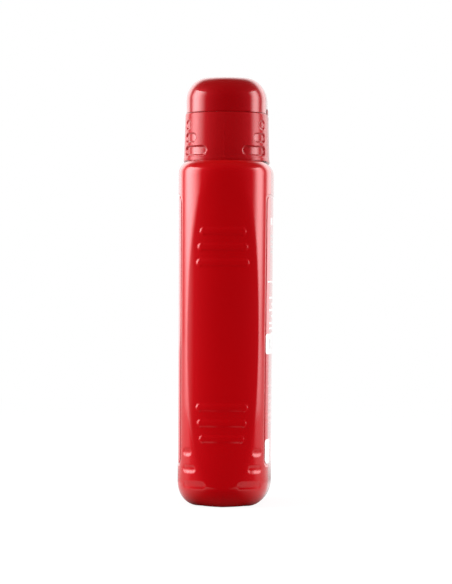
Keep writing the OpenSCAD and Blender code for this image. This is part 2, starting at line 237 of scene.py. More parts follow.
def mixColours(tree, share, first, second):  # a colour is (red, green, blue) or another node's output
    node = tree.nodes.new("ShaderNodeMix")
    node.data_type = "RGBA"
    tree.links.new(share, node.inputs["Factor"])
    for socket, colour in (("A", first), ("B", second)):
        if isinstance(colour, tuple):
            node.inputs[socket].default_value = (*colour, 1)
        else:
            tree.links.new(colour, node.inputs[socket])
    return node.outputs["Result"]


def noiseValue(tree, vector, scale, detail=2.0, roughness=0.5):  # scale is a number or a node's output
    node = tree.nodes.new("ShaderNodeTexNoise")
    node.inputs["Detail"].default_value = detail
    node.inputs["Roughness"].default_value = roughness
    tree.links.new(vector, node.inputs["Vector"])
    if isinstance(scale, (int, float)):
        node.inputs["Scale"].default_value = scale
    else:
        tree.links.new(scale, node.inputs["Scale"])
    return node.outputs["Fac"]


wear = {"scale": 25.0, "detail": 4.0, "roughness": 0.6, "spread": 2.0}  # the slow noise on every plastic


def buildMouldedSkin():
    # Height = long waves + fine peel, both from noise; Wear = a slow noise, spread from 0 to 1
    group, given, put = newGroup("mouldedSkin", [("Place", (0, 0, 0)), ("Wave", 60.0), ("Peel", 900.0),
                                                 ("Peel share", 0.3)], ["Height", "Wear"])
    waves = noiseValue(group, given.outputs["Place"], given.outputs["Wave"])
    peel = noiseValue(group, given.outputs["Place"], given.outputs["Peel"])
    fine = mathNode(group, "MULTIPLY", peel, given.outputs["Peel share"])
    group.links.new(mathNode(group, "ADD", waves, fine), put.inputs["Height"])
    slow = noiseValue(group, given.outputs["Place"], wear["scale"], wear["detail"], wear["roughness"])
    spread = mathNode(group, "MULTIPLY_ADD", slow, wear["spread"], 0.5 - wear["spread"] / 2)
    group.links.new(spread, put.inputs["Wear"])
    return group


inkEdge = 0.00005  # half the width of a printed block's soft edge, in metres


def buildPrintBlock():
    # Mask is 1 inside a rounded rectangle on the x-z plane, from its distance field, with a soft edge
    sockets = [("Place", (0, 0, 0)), ("Centre x", 0.0), ("Centre z", 0.0), ("Half width", 0.01),
               ("Half height", 0.01), ("Corner", 0.001)]
    group, given, put = newGroup("printBlock", sockets, ["Mask"])
    split = group.nodes.new("ShaderNodeSeparateXYZ")
    group.links.new(given.outputs["Place"], split.inputs[0])
    sides = []
    for axis, centre, half in ((0, "Centre x", "Half width"), (2, "Centre z", "Half height")):
        offset = mathNode(group, "SUBTRACT", split.outputs[axis], given.outputs[centre])
        beyond = mathNode(group, "SUBTRACT", mathNode(group, "ABSOLUTE", offset), given.outputs[half])
        beyond = mathNode(group, "ADD", beyond, given.outputs["Corner"])
        sides.append(mathNode(group, "POWER", mathNode(group, "MAXIMUM", beyond, 0.0), 2.0))
    reach = mathNode(group, "SQRT", mathNode(group, "ADD", *sides))
    distance = mathNode(group, "SUBTRACT", reach, given.outputs["Corner"])
    group.links.new(mapRange(group, distance, -inkEdge, inkEdge, 1.0, 0.0), put.inputs["Mask"])
    return group


skinGroup = buildMouldedSkin()
printGroup = buildPrintBlock()


def placeGroup(tree, group, values, place):  # a group node with its own constants, fed by a place vector
    node = tree.nodes.new("ShaderNodeGroup")
    node.node_tree = group
    for name, value in values.items():
        node.inputs[name].default_value = value
    tree.links.new(place, node.inputs["Place"])
    return node


def plasticMaterial(name, look):
    # a plastic whose roughness and bump come from the moulded skin, and whose colour drifts a little
    material = bpy.data.materials.new(name)
    material.use_nodes = True
    tree = material.node_tree
    shader = tree.nodes["Principled BSDF"]
    place = tree.nodes.new("ShaderNodeTexCoord").outputs["Object"]
    values = {"Wave": look["wave"], "Peel": look["peel"], "Peel share": look["peelShare"]}
    skin = placeGroup(tree, skinGroup, values, place)
    worn = skin.outputs["Wear"]
    low, high = look["roughness"]
    tree.links.new(mathNode(tree, "MULTIPLY_ADD", worn, high - low, low), shader.inputs["Roughness"])
    bump = tree.nodes.new("ShaderNodeBump")
    bump.inputs["Strength"].default_value = look["bump"]
    bump.inputs["Distance"].default_value = look["bumpHeight"]
    tree.links.new(skin.outputs["Height"], bump.inputs["Height"])
    tree.links.new(bump.outputs["Normal"], shader.inputs["Normal"])
    colour = mixColours(tree, worn, look["colour"], look["colourDrift"])
    tree.links.new(colour, shader.inputs["Base Color"])
    shader.inputs["Specular Tint"].default_value = (*look["tint"], 1)
    shader.inputs["Specular IOR Level"].default_value = look["specular"]
    shader.inputs["Coat Weight"].default_value = look["coat"]
    shader.inputs["Coat Roughness"].default_value = look["gloss"]
    for socket, value in look.get("fixed", {}).items():
        shader.inputs[socket].default_value = value
    return material


def useMaterial(piece, material):  # gives a piece its one material
    piece.data.materials.clear()
    piece.data.materials.append(material)


# Bottle: a blow-moulded shell with scooped grips, grip bars, base slots, label panels and a neck

neckTop = boxInMm("bottle_body")[1][2]
lidLow, lidHigh = boxInMm("flip_lid")

# rows and columns are (end, step) stretches up and around the bottle, fine where the marks lie; the two turns
# say how far the rounding at the base is followed, in radians
bottle = {
    "halfWidth": 36.5, "halfDepth": 24.6, "endRadius": 30, "cornerRadius": 17, "faceRadius": 220,
    "wall": 0.9, "lean": 0.6, "height": 176.8, "shoulderRadius": 6.5,
    "baseRoundHeight": 12, "baseRoundIn": 10, "baseCornerIn": 3.6, "outerTurn": 1.27, "innerTurn": 1.4,
    "footWidth": 2.4, "pushUp": 2.2, "pushSlope": 3,
    "scoopDepth": 2.1, "scoopRadius": 1650, "scoopFaceRadius": 40, "scoopHeight": 87.7, "scoopBlend": 0.25,
    "creaseLimit": 22,
    "barFirst": 36.7, "barPitch": 7.95, "barCount": 3, "barHeight": 4.6, "barRise": 0.3, "barMargin": 3.8,
    "barEdge": 1.5, "barEndEdge": 0.8,
    "slotHeights": (11.5, 19.8, 28.3), "slotStarts": (7.6, 13, 15.4), "slotEnd": 27.4,
    "slotTall": 4.8, "slotDepth": 0.28, "slotEdge": 1.9,
    "panelHalf": 25.9, "panelLow": 20.6, "panelTop": 159.8, "panelDepth": 0.4, "panelSlope": 0.6,
    "panelCorner": 4,
    "neckRadius": 12, "neckWall": 1.5, "neckFoot": 1.5, "beadOut": 0.8, "beadHeight": 2.4, "beadDrop": 4,
    "columns": ((4, 0.8), (27, 0.4)), "faceStep": 1.6, "firstRow": 8.5,
    "rows": ((54, 0.47), (121.4, 2.8), (143.4, 0.47), (158.2, 2.8), (160.2, 0.2)), "lastStep": 2.2,
    "innerRows": ((160, -2.5), (159, -0.5), (22, -7), (21, -0.5)), "lowestStep": -3,
}
bottleArcs = ovalArcs(bottle["halfWidth"], bottle["halfDepth"], bottle)
bottleStations = spaced(0.0, *bottle["columns"], (arcLengths(bottleArcs)[2], bottle["faceStep"]))
bottleColumns = ringColumns(bottleArcs, bottleStations)


def leanIn(z):  # the sides lean in by the whole lean at the base and by none at the shoulder
    return bottle["lean"] * (1 - z / bottle["height"])


def scoopX(z):  # the scooped side is an arc, seen from the front, that leans in with the bottle
    radius = bottle["scoopRadius"]
    waist = bottle["halfWidth"] - leanIn(z) - bottle["scoopDepth"]
    return waist + radius - np.sqrt(radius ** 2 - (z - bottle["scoopHeight"]) ** 2)


def scoopFall(y):  # and a flatter arc, seen from above
    return bottle["scoopFaceRadius"] - np.sqrt(bottle["scoopFaceRadius"] ** 2 - y * y)


def creaseY(z):  # where the natural section passes inside the scoop
    quarter = quarterRow(bottleColumns, leanIn(z))
    x, y = quarter[quarter[:, 1] < bottle["creaseLimit"], :2].T
    return float(np.interp(0, scoopX(z) - scoopFall(y) - x, y))


def sideInset(z, floor):
    # the lean, and below the sides a quarter of an ellipse that draws the corners in the most
    rise = np.clip((z - floor) / (bottle["baseRoundHeight"] - floor), 0, 1)[:, None]
    cornered = 2 * np.abs(bottleColumns["normalX"] * bottleColumns["normalY"])
    drawn = bottle["baseRoundIn"] + bottle["baseCornerIn"] * cornered
    lean = np.where(z < bottle["baseRoundHeight"], leanIn(0), leanIn(z))[:, None]
    return lean + drawn * (1 - np.sqrt(1 - (1 - rise) ** 2))


def bottleRings(z, inset, wall, marked):
    # a ring at each height: natural section, sunk by the panel and the slots, cut by the scoop, then raised
    # by the bars; only a marked ring has slots and bars
    z, inset = z[:, None], inset + wall
    c = bottleColumns
    natural = ovalRows(c, 0.0, 0.0)[0]
    panelMiddle = (bottle["panelTop"] + bottle["panelLow"]) / 2
    panelHalfHeight = (bottle["panelTop"] - bottle["panelLow"]) / 2
    distance = roundedBoxDistance(natural[:, 0], z - panelMiddle, bottle["panelHalf"], panelHalfHeight,
                                  bottle["panelCorner"])
    sunk = inset + bottle["panelDepth"] * ramp(-distance, 0, bottle["panelSlope"])
    if marked:
        quarter = quarterRow(c, 0.0)
        stations = c["station"][:len(quarter)]
        for height, start in zip(bottle["slotHeights"], bottle["slotStarts"]):
            first = np.interp(start, quarter[:, 1], stations)
            last = np.interp(-bottle["slotEnd"], -quarter[:, 0], stations)
            reach = pillDistance(c["station"] - (first + last) / 2, z - height, (last - first) / 2,
                                 bottle["slotTall"] / 2)
            sunk = sunk + bottle["slotDepth"] * ramp(-reach, 0, bottle["slotEdge"])
    rings = ovalRows(c, z[:, 0], sunk)
    x, y = np.abs(rings[:, :, 0]), rings[:, :, 1]
    scoop = scoopX(z) - wall - scoopFall(y)
    x = smoothLess(x, scoop, bottle["scoopBlend"])
    if marked:
        for side in (-1, 1):
            for i in range(bottle["barCount"]):
                height = bottle["scoopHeight"] + side * (bottle["barFirst"] + i * bottle["barPitch"])
                halfLength, halfHeight = creaseY(height) - bottle["barMargin"], bottle["barHeight"] / 2
                reach = pillDistance(y, z - height, halfLength, halfHeight)
                atEnd = np.abs(y) - halfLength > -halfHeight
                soft = np.where(atEnd, bottle["barEndEdge"], bottle["barEdge"])
                x = x + bottle["barRise"] * ramp(-reach, 0, soft)
    rings[:, :, 0] = c["sideX"] * x
    return rings


def baseRows(lift, steps):  # the hollow's slope and the foot are the lowest ring, drawn in by ever less
    b = bottle
    slope = np.linspace(b["pushSlope"], 0, steps)
    lowest = bottleRings(np.array([lift]), sideInset(np.array([lift]), lift), lift, False)[0]
    drawn = b["baseRoundIn"] + leanIn(0) + lift
    width = (slope + b["footWidth"])[:, None]
    x = lowest[:, 0] * (1 - width / (b["halfWidth"] - drawn))
    y = lowest[:, 1] * (1 - width / (b["halfDepth"] - drawn))
    z = lift + b["pushUp"] * ramp(slope, 0, b["pushSlope"])[:, None]
    return np.stack([x, y, np.broadcast_to(z, x.shape)], axis=2)


def buildBottleShell():
    # one closed skin: the pole under the base, the outer side, the neck and its bore, and the inner side
    b, wall, top = bottle, bottle["wall"], bottle["height"]
    roundZ = b["baseRoundHeight"] * (1 - np.cos(np.linspace(0, b["outerTurn"], 10)))
    plainZ = spaced(b["firstRow"], *b["rows"], (top - b["shoulderRadius"], b["lastStep"]))
    sideZ = np.concatenate([roundZ[:-1], plainZ])
    arc = np.linspace(0, pi / 2, 9)[1:]
    shoulder = ovalRows(bottleColumns, top - b["shoulderRadius"] * (1 - np.sin(arc)),
                        b["shoulderRadius"] * (1 - np.cos(arc)))
    r, bead, foot = b["neckRadius"], neckTop - b["beadDrop"] - b["beadHeight"], b["neckFoot"]
    bore, out = r - b["neckWall"], r + b["beadOut"]
    neck = roundedPath([(r + foot, top, 0), (r, top, 1.0), (r, bead, 0.1), (out, bead, 0.2),
                        (out, bead + b["beadHeight"] / 3, 0.2), (r, bead + b["beadHeight"], 0.3),
                        (r, neckTop, 0.3), (bore, neckTop, 0.3), (bore, top - wall, 0.4),
                        (bore + foot, top - wall, 0)], 3)
    neckRings = circleRows(bottleColumns, neck[:, 1], neck[:, 0])
    innerArc = np.linspace(pi / 2, 0, 7)
    innerRadius = b["shoulderRadius"] - wall
    innerShoulder = ovalRows(bottleColumns, top - wall - innerRadius * (1 - np.sin(innerArc)),
                             wall + innerRadius * (1 - np.cos(innerArc)))
    innerZ = spaced(top - b["shoulderRadius"] - 2, *b["innerRows"], (b["baseRoundHeight"], b["lowestStep"]))
    innerTurn = np.linspace(b["innerTurn"], 0, 8)
    innerRoundZ = wall + (b["baseRoundHeight"] - wall) * (1 - np.cos(innerTurn))
    innerSides = np.concatenate([innerZ, innerRoundZ])
    outerBase, innerBase = baseRows(0, 6), baseRows(wall, 5)[::-1]
    rings = np.concatenate([
        towardsPole(outerBase[0], 6)[::-1], outerBase, bottleRings(sideZ, sideInset(sideZ, 0), 0, True),
        shoulder, between(shoulder[-1], neckRings[0], 3), neckRings,
        between(neckRings[-1], innerShoulder[0], 2), innerShoulder,
        bottleRings(innerSides, sideInset(innerSides, wall), wall, False), innerBase,
        towardsPole(innerBase[-1], 4)])
    return gridMesh("bottleShell", rings, [0, 0, b["pushUp"]], [0, 0, b["pushUp"] + wall])


bottleLook = {
    "colour": (0.43, 0.0004, 0.001), "colourDrift": (0.40, 0.0003, 0.0008),
    "roughness": (0.36, 0.42), "wave": 70.0, "peel": 1100.0, "peelShare": 0.25, "coat": 1.0,
    "bump": 0.06, "bumpHeight": 0.0004, "gloss": 0.07, "tint": (1.0, 0.01, 0.05), "specular": 1.0,
}
bottleShell = buildBottleShell()
useMaterial(bottleShell, plasticMaterial("bottlePlastic", bottleLook))
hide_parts("bottle_body")
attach(bottleShell, "bottle")
print("bottle shell:", len(bottleShell.data.polygons), "faces")


# Labels: thin films on the floors of the two panels, printed with fields and bars

# crowding brings the columns closer together towards the film's two edges
label = {"tall": 136.4, "corner": 3.2, "thickness": 0.2, "acrossSteps": 60, "upSteps": 90, "crowding": 0.92}


def facePoint(x, inset):
    # the section's y at a distance x from the middle: face arc, or corner arc past the point where they meet
    cornerX, cornerY, cornerRadius = bottleArcs[1, :3]
    faceY, faceRadius, faceTurn = bottleArcs[2, 1:4]
    meet = cornerX + (cornerRadius - inset) * np.cos(faceTurn)
    onFace = faceY + np.sqrt(np.maximum((faceRadius - inset) ** 2 - x * x, 0))
    onCorner = cornerY + np.sqrt(np.maximum((cornerRadius - inset) ** 2 - (np.abs(x) - cornerX) ** 2, 0))
    return np.where(np.abs(x) < meet, onFace, onCorner)


def buildLabel(name, node, side):
    # a sheet over (x, z): each row is as wide as the rounded outline there, and lies on the panel's floor
    low, high = boxInMm(node)
    bottom, top, half, r = low[2], low[2] + label["tall"], high[0], label["corner"]
    arc = np.linspace(0, pi / 2, 9)
    edge = r * (1 - np.cos(arc))
    z = np.concatenate([bottom + edge, np.linspace(bottom + r, top - r, label["upSteps"])[1:-1],
                        (top - edge)[::-1]])
    fromEnd = np.clip(np.minimum(z - bottom, top - z), 0, r)
    width = half - (r - np.sqrt(np.maximum(r * r - (r - fromEnd) ** 2, 0)))
    lastTurn = pi / 2 * label["crowding"]
    across = np.sin(np.linspace(-lastTurn, lastTurn, label["acrossSteps"] + 1)) / sin(lastTurn)
    x = width[:, None] * across * -side
    z = np.broadcast_to(z[:, None], x.shape)
    y = side * facePoint(x, leanIn(z) + bottle["panelDepth"])
    count, n = x.shape
    index = np.arange(count * n).reshape(count, n)
    quads = np.stack([index[:-1, :-1], index[:-1, 1:], index[1:, 1:], index[1:, :-1]], axis=2)
    points = np.stack([x, y, z], axis=2).reshape(-1, 3)
    piece = newPiece(name, points, quads.reshape(-1, 4).tolist())
    film = piece.modifiers.new("film", "SOLIDIFY")
    film.thickness = label["thickness"] * mm
    film.offset = 1
    return piece


def labelMaterial(name, look):
    # ink blocks over the ground colour, in order: (x, z, half width, half height, corner, ink), in millimetres
    material = plasticMaterial(name, look)
    tree = material.node_tree
    shader = tree.nodes["Principled BSDF"]
    place = tree.nodes.new("ShaderNodeTexCoord").outputs["Object"]
    colour = shader.inputs["Base Color"].links[0].from_socket
    for x, z, halfWidth, halfHeight, corner, ink in look["blocks"]:
        values = {"Centre x": x * mm, "Centre z": z * mm, "Half width": halfWidth * mm,
                  "Half height": halfHeight * mm, "Corner": corner * mm}
        block = placeGroup(tree, printGroup, values, place)
        colour = mixColours(tree, block.outputs["Mask"], colour, inks[ink])
    tree.links.new(colour, shader.inputs["Base Color"])
    return material


inks = {"white": (0.80, 0.78, 0.76), "pink": (0.72, 0.16, 0.18), "grey": (0.33, 0.30, 0.31),
        "deep": (0.25, 0.002, 0.006)}
textBar = {"halfHeight": 0.55, "corner": 0.2, "lastShare": 0.7}


def textRows(x, top, halfWidth, count, pitch, ink):  # bars in place of printed lines, with a shorter last one
    size = (textBar["halfHeight"], textBar["corner"], ink)
    rows = [(x, top - i * pitch, halfWidth, *size) for i in range(count - 1)]
    lastHalf = halfWidth * textBar["lastShare"]
    return rows + [(x - halfWidth + lastHalf, top - (count - 1) * pitch, lastHalf, *size)]


filmLook = {"colour": (0.50, 0.004, 0.008), "colourDrift": (0.47, 0.003, 0.007), "roughness": (0.35, 0.45),
            "wave": 50.0, "peel": 700.0, "peelShare": 0.1, "bump": 0.08, "bumpHeight": 0.0003,
            "gloss": 0.08, "coat": 1.0, "tint": (1.0, 0.3, 0.5), "specular": 0.4}
backLook = {**filmLook, "blocks": [
    (12.5, 146.1, 4.5, 1.8, 0.6, "white"), (13, 139.2, 0.4, 4.6, 0.2, "white"),
    *textRows(0, 138.5, 17, 5, 2.7, "grey"), (0, 115, 23, 0.35, 0.2, "white"),
    *textRows(2, 106.8, 18, 2, 3.4, "white"), *textRows(2, 100.4, 18, 2, 3.0, "white"),
    *textRows(2, 93.7, 18, 3, 2.6, "white"),
    (13, 83.2, 11.5, 5.2, 1.2, "white"), (16, 83.2, 2.2, 2.6, 0.8, "grey"),
    (0, 61.6, 22, 0.35, 0.2, "pink"), *textRows(0, 57, 20, 6, 3.4, "pink"),
    (18.2, 28.2, 6.2, 6.3, 1.4, "white"), (-6, 28.2, 14, 4.6, 1.0, "pink")]}
frontLook = {**filmLook, "blocks": [
    (0, 118, 19.5, 21, 8, "deep"), (0, 122, 15, 6.5, 3, "white"), (0, 108, 12, 0.6, 0.3, "white"),
    *textRows(0, 104, 9, 2, 3, "white"), (0, 62, 19.5, 18, 8, "pink"), (-5, 66, 8, 8, 8, "white"),
    (7, 56, 6, 6, 6, "deep"), (0, 34, 17, 0.5, 0.3, "white"), *textRows(0, 30, 12, 2, 3, "white")]}
films = (("backLabel", "back_label", 1, backLook), ("frontLabel", "front_label", -1, frontLook))
for name, node, side, look in films:
    film = buildLabel(name, node, side)
    useMaterial(film, labelMaterial(name + "Film", look))
    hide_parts(node)
    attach(film, "bottle")
print("labels:", len(films))


# Closure base: satin skirt with slots, tray, orifice collar, seal ring and the sleeve that snaps on the neck

# columns are (end, step) stretches round the skirt, and hingeColumns end at a distance from the back's middle
closure = {
    "endRadius": 26, "cornerRadius": 15, "faceRadius": 150,
    "skirtHeight": 24.5, "step": 0.45, "flare": 0.6, "rimOut": 0.2, "rimHeight": 1.4, "rimEdge": 0.12,
    "rimDrop": 0.22, "rimSlope": 0.15, "edgeRadius": 0.8, "wall": 1.0,
    "slotHeights": (4.8, 11.5, 18.2), "slotStarts": (8.8, 14.2, 16.9), "slotEnd": 15.8, "slotTall": 4.9,
    "slotEdge": 0.45, "mouldLine": 0.07, "mouldLineHalf": 0.22, "mouldLineDrop": 1,
    "ledge": 2.6, "trayDepth": 1.0, "deck": 1.6, "underDeck": 0.1,
    "collarRadius": 5.5, "collarHeight": 2.0, "orificeRadius": 2.5,
    "sealRadius": 10.35, "sealWall": 1.0, "sealLength": 5.0,
    "sleeveBore": 12.95, "sleeveWall": 1.4, "sleeveLip": 12.15, "catchDrop": 6.55, "sleeveBelow": 3.0,
    "notchWidth": 12, "notchDepth": 1.0, "notchEdge": 0.25,
    "recessHalf": 6.65, "recessY": 20.9, "recessDrop": 2.75, "recessEdge": 0.06,
    "columns": ((0.6, 0.15), (7.8, 0.9), (28, 0.34)), "rowStep": 0.3,
    "hingeColumns": ((7, 1.3), (6.4, 0.1), (0, 1.2)),
}
rimZ = boxInMm("closure_base")[0][2]
seamZ = rimZ + closure["skirtHeight"]
capArcs = ovalArcs(lidHigh[0], lidHigh[1], closure)
capLength = arcLengths(capArcs)[2]
hingeStretches = [(capLength - away, step) for away, step in closure["hingeColumns"]]
capColumns = ringColumns(capArcs, spaced(0.0, *closure["columns"], *hingeStretches))


def closureMarks(rings, inset):
    # slots pull the skirt in to the lid's section, the thumb notch is a sphere's cut and the hinge recess a
    # flat one; the second result is 1 on the slots' floors
    c, k = capColumns, closure
    z = rings[:, :, 2]
    quarter = quarterRow(c, 0.0)
    stations = c["station"][:len(quarter)]
    mask = np.zeros_like(z)
    for height, start in zip(k["slotHeights"], k["slotStarts"]):
        first = np.interp(start, quarter[:, 1], stations)
        last = np.interp(-k["slotEnd"], -quarter[:, 0], stations)
        reach = pillDistance(c["station"] - (first + last) / 2, z - rimZ - height, (last - first) / 2,
                             k["slotTall"] / 2)
        mask = np.maximum(mask, ramp(-reach, 0, k["slotEdge"]))
    ridge = k["mouldLine"] * ramp(-c["station"], -k["mouldLineHalf"], 0) * (z < seamZ - k["mouldLineDrop"])
    marked = ovalRows(c, rings[:, 0, 2], inset[:, None] * (1 - mask) - ridge)
    radius = (k["notchWidth"] ** 2 / 4 + k["notchDepth"] ** 2) / (2 * k["notchDepth"])
    x, y = marked[:, :, 0], marked[:, :, 1]
    ball = radius ** 2 - x * x - (z - seamZ) ** 2
    middle = -lidHigh[1] - k["step"] + k["notchDepth"] - radius
    cut = middle + np.sqrt(np.maximum(ball, 0))
    y = np.where((ball > 0) & (y < 0), -smoothLess(-y, -cut, k["notchEdge"]), y)
    behind = (np.abs(x) < k["recessHalf"]) & (z > seamZ - k["recessDrop"]) & (y > 0)
    marked[:, :, 1] = np.where(behind, np.minimum(y, k["recessY"]), y)
    return marked, mask


def buildClosureBase():
    # one closed skin like a ring: skirt, ledge, tray, collar and orifice, then back underneath
    k = closure
    foot, rimTop, recessZ = k["step"] + k["flare"], rimZ + k["rimHeight"], seamZ - k["recessDrop"]
    trayZ, deckZ = seamZ - k["trayDepth"], seamZ - k["trayDepth"] - k["deck"]
    skirtLow = roundedPath([(k["wall"], rimZ - k["rimDrop"], 0),
                            (-foot - k["rimOut"], rimZ - k["rimDrop"], k["rimEdge"]),
                            (-foot - k["rimOut"] / 2, rimTop, 0.2), (-foot, rimTop + k["rimSlope"], 0)], 3)
    step, edge = k["rowStep"], k["recessEdge"]
    sideZ = spaced(rimTop + k["rimSlope"] + step, (recessZ - edge, step), (recessZ + edge, edge),
                   (seamZ - k["edgeRadius"], step))
    share = (sideZ - rimTop) / (seamZ - k["edgeRadius"] - rimTop)
    arc = np.linspace(0, pi / 2, 6)[1:]
    outerInset = np.concatenate([skirtLow[:, 0], -foot + k["flare"] * share,
                                 k["edgeRadius"] * (1 - np.cos(arc)) - k["step"], [1.2, k["ledge"] - 0.6]])
    edgeZ = seamZ - k["edgeRadius"] * (1 - np.sin(arc))
    outerZ = np.concatenate([skirtLow[:, 1], sideZ, edgeZ, [seamZ, seamZ]])
    outer, slotMask = closureMarks(ovalRows(capColumns, outerZ, outerInset), outerInset)
    tray = roundedPath([(k["ledge"] - 0.4, seamZ, 0), (k["ledge"], seamZ, 0.2), (k["ledge"], trayZ, 0.3),
                        (k["ledge"] + 0.5, trayZ, 0)], 3)
    trayRings = ovalRows(capColumns, tray[:, 1], tray[:, 0])
    r, o = k["collarRadius"], k["orificeRadius"]
    collar = roundedPath([(r + 0.8, trayZ, 0), (r, trayZ, 0.4), (r, trayZ + k["collarHeight"], 0.5),
                          (o, trayZ + k["collarHeight"], 0.4), (o, deckZ, 0.3), (o + 0.8, deckZ, 0)], 4)
    collarRings = circleRows(capColumns, collar[:, 1], collar[:, 0])
    sealIn, sealLow = k["sealRadius"] - k["sealWall"], deckZ - k["underDeck"] - k["sealLength"]
    bore, lip, catchZ = k["sleeveBore"], k["sleeveLip"], deckZ - k["underDeck"] - k["catchDrop"]
    outside, sleeveLow = bore + k["sleeveWall"], catchZ - k["sleeveBelow"]
    under = roundedPath([(sealIn - 0.8, deckZ, 0), (sealIn, deckZ, 0.3), (sealIn, sealLow, 0.3),
                         (k["sealRadius"], sealLow, 0.4), (k["sealRadius"], deckZ, 0.3), (bore, deckZ, 0.3),
                         (bore, catchZ, 0.2), (lip, catchZ, 0.2), (lip, sleeveLow, 0.4),
                         (outside, sleeveLow, 0.3), (outside, deckZ, 0.4), (outside + 1, deckZ, 0)], 2)
    underRings = circleRows(capColumns, under[:, 1], under[:, 0])
    inside = roundedPath([(k["wall"] + 1, deckZ, 0), (k["wall"], deckZ, 0.5), (k["wall"], rimZ + 0.4, 0)], 3)
    lowZ = np.linspace(inside[-1, 1], rimZ + 0.05, 6)[1:]
    insideZ = np.concatenate([inside[:, 1], lowZ])
    insideInset = np.concatenate([inside[:, 0], np.full_like(lowZ, k["wall"])])
    insideRings = ovalRows(capColumns, insideZ, insideInset)
    rings = np.concatenate([outer, trayRings, between(trayRings[-1], collarRings[0], 5), collarRings,
                            between(collarRings[-1], underRings[0], 2), underRings,
                            between(underRings[-1], insideRings[0], 3), insideRings])
    piece = gridMesh("closureBase", rings, torus=True)
    polished = np.zeros(rings.shape[0] * rings.shape[1])
    polished[:slotMask.size] = slotMask.ravel()
    piece.data.attributes.new("polished", "FLOAT", "POINT").data.foreach_set("value", polished)
    return piece


closureLook = {
    "colour": (0.33, 0.0012, 0.0016), "colourDrift": (0.31, 0.001, 0.0014),
    "roughness": (0.45, 0.52), "wave": 300.0, "peel": 2600.0, "peelShare": 1.0,
    "bump": 0.25, "bumpHeight": 0.0002, "gloss": 0.11, "coat": 0.6, "slotCoat": 1.0,
    "tint": (1.0, 0.01, 0.05), "specular": 0.9,
}


def closurePlastic():  # the satin skin takes a stronger coat on the polished floors of the slots
    material = plasticMaterial("closurePlastic", closureLook)
    tree = material.node_tree
    polished = tree.nodes.new("ShaderNodeAttribute")
    polished.attribute_name = "polished"
    plain, strong = closureLook["coat"], closureLook["slotCoat"]
    coat = mathNode(tree, "MULTIPLY_ADD", polished.outputs["Fac"], strong - plain, plain)
    tree.links.new(coat, tree.nodes["Principled BSDF"].inputs["Coat Weight"])
    return material


closureMaterial = closurePlastic()
closureBase = buildClosureBase()
useMaterial(closureBase, closureMaterial)
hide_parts("closure_base")
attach(closureBase, "bottle")
print("closure base:", len(closureBase.data.polygons), "faces")


# Lid: a glossy dome with the plug on its boss

lid = {"edgeHeight": 11.6, "edgeIn": 10.8, "wall": 1.3, "bossRadius": 4, "plugRadius": 2.2, "bossDrop": 0.3,
       "seam": 0.08, "lipEdge": 0.08, "firstRow": 1.6, "rows": ((3.0, 0.35),), "lastStep": 1.0}


def buildFlipLid():
    # one closed skin: plug tip, boss, ceiling, inner wall, lip, outer wall, rounded edge and the flat top
    k = lid
    gap, top, wall = k["seam"], lidHigh[2], k["wall"]
    lipZ, ceiling = seamZ + gap, top - wall
    bossZ = seamZ - closure["trayDepth"] + closure["collarHeight"] + k["bossDrop"]
    plug = roundedPath([(0.4, lidLow[2], 0), (k["plugRadius"], lidLow[2], 0.5), (k["plugRadius"], bossZ, 0.2),
                        (k["bossRadius"], bossZ, 0.3), (k["bossRadius"], ceiling, 0.8),
                        (k["bossRadius"] + 1.5, ceiling, 0)], 4)
    plugRings = circleRows(capColumns, plug[:, 1], plug[:, 0])
    innerArc = np.linspace(pi / 2, 0, 9)
    rise, drawn = k["edgeHeight"] - wall, k["edgeIn"] - wall
    innerEdge = ovalRows(capColumns, ceiling - rise * (1 - np.sin(innerArc)),
                         wall + drawn * (1 - np.cos(innerArc)))
    walls = roundedPath([(wall, ceiling - rise - 0.5, 0), (wall, lipZ, 0.2), (0, lipZ, k["lipEdge"]),
                         (0, lipZ + 1.2, 0)], 3)
    wallRings = ovalRows(capColumns, walls[:, 1], walls[:, 0])
    lowRows = [(lipZ + end, step) for end, step in k["rows"]]
    outerZ = spaced(lipZ + k["firstRow"], *lowRows, (top - k["edgeHeight"] - 0.3, k["lastStep"]))
    arc = np.linspace(0, pi / 2, 25)
    outer = ovalRows(capColumns, np.concatenate([outerZ, top - k["edgeHeight"] * (1 - np.sin(arc))]),
                     np.concatenate([np.zeros_like(outerZ), k["edgeIn"] * (1 - np.cos(arc))]))
    recessTop = seamZ + closure["recessDrop"] + gap
    for rings in (wallRings, outer):
        x, y, z = rings[:, :, 0], rings[:, :, 1], rings[:, :, 2]
        behind = (np.abs(x) < closure["recessHalf"]) & (y > 0) & (z < recessTop)
        rings[:, :, 1] = np.where(behind, np.minimum(y, closure["recessY"]), y)
    rings = np.concatenate([plugRings, between(plugRings[-1], innerEdge[0], 3), innerEdge, wallRings, outer,
                            towardsPole(outer[-1], 6)])
    return gridMesh("flipLid", rings, [0, 0, lidLow[2]], [0, 0, top])


lidLook = {
    "colour": (0.30, 0.0008, 0.0012), "colourDrift": (0.28, 0.0006, 0.001),
    "roughness": (0.4, 0.46), "wave": 45.0, "peel": 600.0, "peelShare": 0.05,
    "bump": 0.05, "bumpHeight": 0.0003, "gloss": 0.06, "coat": 1.0,
    "tint": (1.0, 0.01, 0.05), "specular": 0.9,
}
flipLid = buildFlipLid()
useMaterial(flipLid, plasticMaterial("lidPlastic", lidLook))
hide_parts("flip_lid")
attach(flipLid, "lid")
print("flip lid:", len(flipLid.data.polygons), "faces")


# Living hinge: a thin strap with a bending groove across its middle

hinge = {"corner": 0.12, "trim": 0.12, "grooveDepth": 0.12, "grooveFloor": 0.1, "grooveHalf": 0.5,
         "upStep": 0.2, "acrossSteps": 26, "bendHalf": 0.6}


